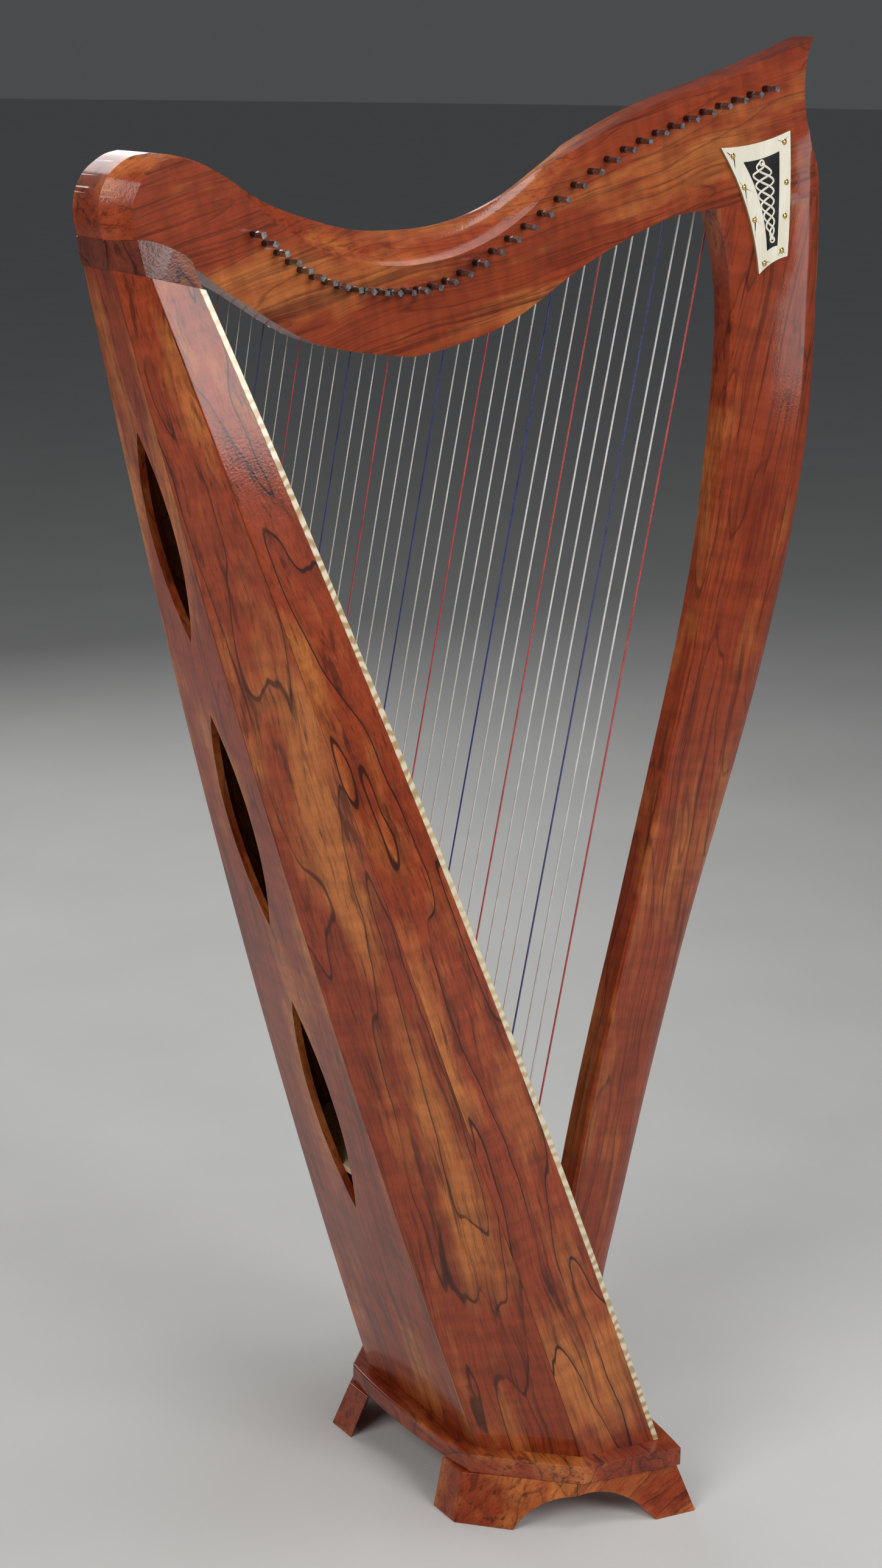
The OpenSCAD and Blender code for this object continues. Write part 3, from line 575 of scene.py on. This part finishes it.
def dress_woods():
    near = (0, -1, 0)
    rear = (-1, 0, -0.3)
    soften("neck", rosewood("bubinga_neck", NECK_ALONG, near, 1, veins=0.35, streaks=0.62), 1.2)
    soften("shoulder_block", rosewood("bubinga_shoulder", NECK_ALONG, near, 2, veins=0.35), 1.2)
    soften("pillar", rosewood("bubinga_pillar", (0.19, 0, 0.982), near, 3, veins=0.45, waves=0.02), 1.4)
    soften("top_block", rosewood("bubinga_top_block", (0.62, 0, -0.78), near, 4, BUBINGA_DARK), 0.8)
    soften("back_panel", rosewood("bubinga_back", BOX_UP, rear, 5, veins=0.35, streaks=0.6), 1.4,
           keep_long=False)
    for k, side in enumerate(("right", "left")):
        out = (0, 2 * k - 1, 0)
        slant = (-0.7, 1.4 * k - 0.7, 0)
        bevel_wood = rosewood(f"bubinga_bevel_{side}", BOX_UP, slant, 7 + k, veins=0.8)
        soften(f"bevel_panel_{side}", bevel_wood, 0.5, keep_long=False)
        side_wood = rosewood(f"bubinga_side_{side}", BOX_UP, out, 9 + k, veins=1.0)
        soften(f"side_panel_{side}", side_wood, 0.5, keep_long=False)
        leg_wood = rosewood(f"bubinga_leg_{side}", (0.86, 0.2, 0.45), out, 12 + k, veins=0.4, gold_at=0.44)
        soften(f"leg_frame_{side}", leg_wood, 1.5)
    soften("base_plate", rosewood("bubinga_plate", (0.1, 1, 0.1), (0, 0, 1), 15, veins=0.5), 2.2)
    spruce = straight_wood("spruce_board", BOX_UP, BOARD_OUT, 16, (0.34, 0.17, 0.065), (0.60, 0.36, 0.155),
                           coat=0.45)
    soften("soundboard", spruce, 0.4)
    soften("string_strip", rosewood("rosewood_strip", BOX_UP, BOARD_OUT, 17, BUBINGA_DARK), 0.8)
    maple = straight_wood("maple_frame", BOX_UP, (1, 0, 0), 18, (0.45, 0.32, 0.18), (0.66, 0.52, 0.33))
    soften("inner_frame", maple, 0.8)
    soften("edge_bindings", curly_maple("curly_maple", BOX_UP), 0.9)


# Depths along Y between which the squared pin ends fade into their painted highlight.
PIN_HIGHLIGHT_START = -50 * MM
PIN_HIGHLIGHT_END = -54 * MM


def pin_material():
    """Blued steel, with a painted highlight: the squared ends that the tuning key turns are coloured bright
    grey.
    """
    g = Graph("blued_steel")
    cloud = g.noise(g.scaled(g.place, (240, 240, 240)), detail=4, roughness=0.6)
    rub = g.noise(g.scaled(g.place, (900, 300, 900)), detail=3, roughness=0.65)
    # Painted highlight: past a set depth along Y, the squared ends are coloured bright grey instead of blued.
    ends = g.step(g.dot(g.place, (0, 1, 0)), PIN_HIGHLIGHT_START, PIN_HIGHLIGHT_END)
    dark = g.ramp(cloud, [(0.3, (0.055, 0.058, 0.066)), (0.7, (0.12, 0.122, 0.13))])
    painted_highlight = g.ramp(rub, [(0.3, (0.22, 0.22, 0.23)), (0.7, (0.46, 0.46, 0.47))])
    colour = g.mix(ends, dark, painted_highlight)
    return g.finish(colour, roughness=g.step(cloud, 0.3, 0.75, 0.2, 0.34), metallic=1.0, bump=rub, depth=0.12,
                    distance=0.0002)


def dress_hardware():
    ivory = polished("ivory_plate", (0.84, 0.80, 0.68), (0.74, 0.69, 0.55), edge_colour=(0.26, 0.20, 0.10))
    soften("joint_plate", ivory, 0.6)
    soften("plate_inlay", polished("black_inlay", (0.012, 0.012, 0.014), (0.006, 0.006, 0.006)), 0.2)
    soften("tuning_pins", pin_material(), 0.5)
    soften("bridge_pins", metal("pin_steel", (0.42, 0.42, 0.44), (0.26, 0.26, 0.28), 0.25), 0.3)
    soften("lever_bases", metal("base_nickel", (0.46, 0.45, 0.44), (0.32, 0.31, 0.31), 0.32), 0.3)
    soften("string_grommets", metal("grommet_brass", (0.78, 0.56, 0.24), (0.55, 0.38, 0.15), 0.25), 0.15)
    lever = metal("lever_chrome", (0.78, 0.78, 0.80), (0.58, 0.58, 0.60), 0.14)
    for joint in frame["joints"]:
        soften(joint["child"], lever, 0.25)


# ---------- screws and braid on the joint plate ----------

SCREW_CELLS = 44
DOME_RISE = 1.6 * MM
DOME_ZONE = 1.7 * MM
SLOT_HALF = 0.32 * MM
SLOT_LENGTH = 1.9 * MM
SLOT_DEPTH = 0.7 * MM
STRANDS = 3
TWISTS = 2.5
STRAND_STEPS = 150
STRAND_R = 1.15 * MM
STRAND_SIDES = 10
STRAND_FLATNESS = 0.4
STRAND_LIFT = 0.35 * MM
STRAND_SINK = 0.05 * MM
BRAID_MARGIN = 11 * MM
BRAID_SIDE_MARGIN = 3.2 * MM
BRAID_SPREAD = 0.75
WIDTH_ZONE = 9 * MM
EYE_R = 2.6 * MM
EYE_STEPS = 24
EYE_SIDES = 8
ALONG_Y = Vector((0, 1, 0))


def screw_dome(bm, centre, outside, radius, turn):
    """Domed head with a cross recess, turned by an angle; outside is the Y of its top."""
    sphere = (radius ** 2 + DOME_RISE ** 2) / (2 * DOME_RISE)
    cell = 2 * radius / SCREW_CELLS
    grid = {}
    for i in range(SCREW_CELLS + 1):
        for j in range(SCREW_CELLS + 1):
            x, z = i * cell - radius, j * cell - radius
            far = math.hypot(x, z)
            if far > radius:
                continue
            rise = math.sqrt(sphere ** 2 - far ** 2) - (sphere - DOME_RISE)
            if min(abs(x), abs(z)) < SLOT_HALF and far < SLOT_LENGTH:
                rise -= SLOT_DEPTH * (1 - (far / SLOT_LENGTH) ** 2)
            px = x * math.cos(turn) - z * math.sin(turn)
            pz = x * math.sin(turn) + z * math.cos(turn)
            place = (centre[0] + px, outside + DOME_RISE - rise, centre[2] + pz)
            grid[i, j] = bm.verts.new(place)
    for i, j in grid:
        corners = [grid.get(c) for c in ((i, j), (i, j + 1), (i + 1, j + 1), (i + 1, j))]
        if all(corners):
            bm.faces.new(corners)


def add_screws():
    """Domed heads over the CAD screws, each turned its own way."""
    turned = random.Random(SEED)
    bm = bmesh.new()
    for screw in islands("plate_screws"):
        outside = screw[:, 1].min()
        head = screw[screw[:, 1] < outside + DOME_ZONE]
        centre = (head.max(axis=0) + head.min(axis=0)) / 2
        radius = (head[:, 0].max() - head[:, 0].min()) / 2
        screw_dome(bm, centre, outside, radius, turned.uniform(0, math.pi))
    brass = metal("screw_brass", (0.80, 0.60, 0.26), (0.50, 0.33, 0.12), 0.2, scale=900)
    heads = new_object("plate_screw_heads", bm, [brass], sharp=40)
    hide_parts("plate_screws")
    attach(heads, "frame")


def add_braid():
    """Plain three-strand braid with an eye at each end, laid on the black inlay and narrowing with it."""
    low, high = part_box("plate_inlay")
    inlay = islands("plate_inlay")[0]
    top, bottom = high.z - BRAID_MARGIN, low.z + BRAID_MARGIN
    surface = low.y - STRAND_SINK

    def sides(z):
        near = inlay[np.abs(inlay[:, 2] - z) < WIDTH_ZONE]
        return near[:, 0].min(), near[:, 0].max()

    (top_low, top_high), (end_low, end_high) = sides(top), sides(bottom)
    bm = bmesh.new()
    for strand in range(STRANDS):
        path = []
        for k in range(STRAND_STEPS + 1):
            t = k / STRAND_STEPS
            angle = 2 * math.pi * (TWISTS * t + strand / STRANDS)
            ease = min(1, 5 * t + 0.25, 5 * (1 - t) + 0.25)
            middle = (1 - t) * (top_low + top_high) / 2 + t * (end_low + end_high) / 2
            half = ((1 - t) * (top_high - top_low) + t * (end_high - end_low)) / 2 - BRAID_SIDE_MARGIN
            x = middle + BRAID_SPREAD * half * ease * math.sin(angle)
            y = surface - STRAND_LIFT * math.sin(2 * angle)
            path.append(Vector((x, y, (1 - t) * top + t * bottom)))
        rings = []
        for k, point in enumerate(path):
            ahead = (path[min(k + 1, STRAND_STEPS)] - path[max(k - 1, 0)]).normalized()
            aside = ALONG_Y.cross(ahead).normalized()
            ring = circle_ring(point, aside, ALONG_Y, STRAND_R, STRAND_SIDES)
            rings.append([Vector((p.x, point.y + (p.y - point.y) * STRAND_FLATNESS, p.z)) for p in ring])
        add_rings(bm, rings)
    for x, z in (((top_low + top_high) / 2, top), ((end_low + end_high) / 2, bottom)):
        centre = Vector((x, surface, z))
        rings = []
        for k in range(EYE_STEPS):
            a = 2 * math.pi * k / EYE_STEPS
            out = Vector((math.cos(a), 0, math.sin(a)))
            rings.append(circle_ring(centre + out * EYE_R, out, ALONG_Y, STRAND_R * 0.8, EYE_SIDES))
        add_rings(bm, rings, closed=True)
    ivory = polished("braid_ivory", (0.80, 0.76, 0.64), (0.66, 0.61, 0.48))
    braid = new_object("inlay_braid", bm, [ivory])
    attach(braid, "frame")


# ---------- strings ----------

TREBLE_R = 0.4 * MM
BASS_R = 1.05 * MM
STRING_SIDES = 10
COIL_TURNS = 3
COIL_STEPS = 14
COIL_PITCH = 2.1
COIL_GAP = 0.05 * MM
FIRST_WOUND = 27
OCTAVE = 7
BOARD_LEAN = math.radians(20.57)
BEND_FROM_GROMMET = 5.2 * MM
KNOT_DEPTH = 16 * MM
BEND_START = 2 * MM
BEND_NEAR = 0.6 * MM
BEND_END = 3 * MM


def string_places():
    """Foot and pin of each string in the plane y = 0, and the pin's radius."""
    tails = [g[g[:, 1] > 0] for g in islands("tuning_pins")]
    pins = [(g.max(axis=0) + g.min(axis=0)) / 2 for g in tails]
    feet = [(g.max(axis=0) + g.min(axis=0)) / 2 for g in islands("string_grommets")]
    radius = float(tails[0][:, 0].max() - tails[0][:, 0].min()) / 2
    return [(Vector((f[0], 0, f[2])), Vector((p[0], 0, p[2]))) for f, p in zip(feet, pins)], radius


def add_strings():
    """Strings from behind the soundboard to three turns on their pins, with red, blue and wound ones."""
    kinds = {
        "clear": string_material("string_nylon", (0.86, 0.86, 0.84), (0.70, 0.70, 0.68), False, 0.25),
        "red": string_material("string_red", (0.72, 0.10, 0.12), (0.50, 0.04, 0.06), False, 0.15),
        "blue": string_material("string_blue", (0.05, 0.06, 0.30), (0.02, 0.025, 0.14), False, 0.10),
        "wound": string_material("string_wound", (0.80, 0.80, 0.78), (0.55, 0.55, 0.54), True),
        "wound_red": string_material("string_wound_red", (0.60, 0.08, 0.08), (0.36, 0.03, 0.03), True),
        "wound_blue": string_material("string_wound_blue", (0.05, 0.06, 0.24), (0.02, 0.02, 0.10), True),
    }
    index = {kind: k for k, kind in enumerate(kinds)}
    board_out = Vector((math.cos(BOARD_LEAN), 0, math.sin(BOARD_LEAN)))
    places, pin_radius = string_places()
    bm = bmesh.new()
    for i, (grommet, pin) in enumerate(places, 1):
        r = TREBLE_R + (BASS_R - TREBLE_R) * (i - 1) / (len(places) - 1)
        kind = {1: "red", 5: "blue"}.get(i % OCTAVE, "clear")
        if i >= FIRST_WOUND:
            kind = "wound" if kind == "clear" else f"wound_{kind}"
        foot = grommet + board_out * BEND_FROM_GROMMET
        toward = (pin - foot).normalized()
        aside = Vector((-toward.z, 0, toward.x))
        reach = pin_radius + r + COIL_GAP
        head = pin + aside * reach
        path = [grommet - board_out * KNOT_DEPTH, foot - board_out * BEND_START,
                foot - board_out * BEND_NEAR, foot + toward * BEND_NEAR]
        straight = (head - foot).length
        path += [foot.lerp(head, t) for t in (BEND_END / straight, 0.25, 0.5, 0.75, 0.97)]
        start = math.atan2(aside.z, aside.x)
        for k in range(COIL_TURNS * COIL_STEPS + 1):
            turn = k / COIL_STEPS
            a = start - 2 * math.pi * turn
            path.append(pin + Vector((math.cos(a) * reach, COIL_PITCH * r * turn, math.sin(a) * reach)))
        sweep(bm, path, r, STRING_SIDES, index[kind])
    strings = new_object("harp_strings", bm, list(kinds.values()))
    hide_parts("strings")
    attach(strings, "frame")


# ---------- the scene ----------


def main():
    add_camera()
    add_floor()
    add_lights()
    dress_woods()
    dress_hardware()
    add_screws()
    add_braid()
    add_strings()
    scene = bpy.context.scene
    scene.view_settings.view_transform = "Standard"


main()
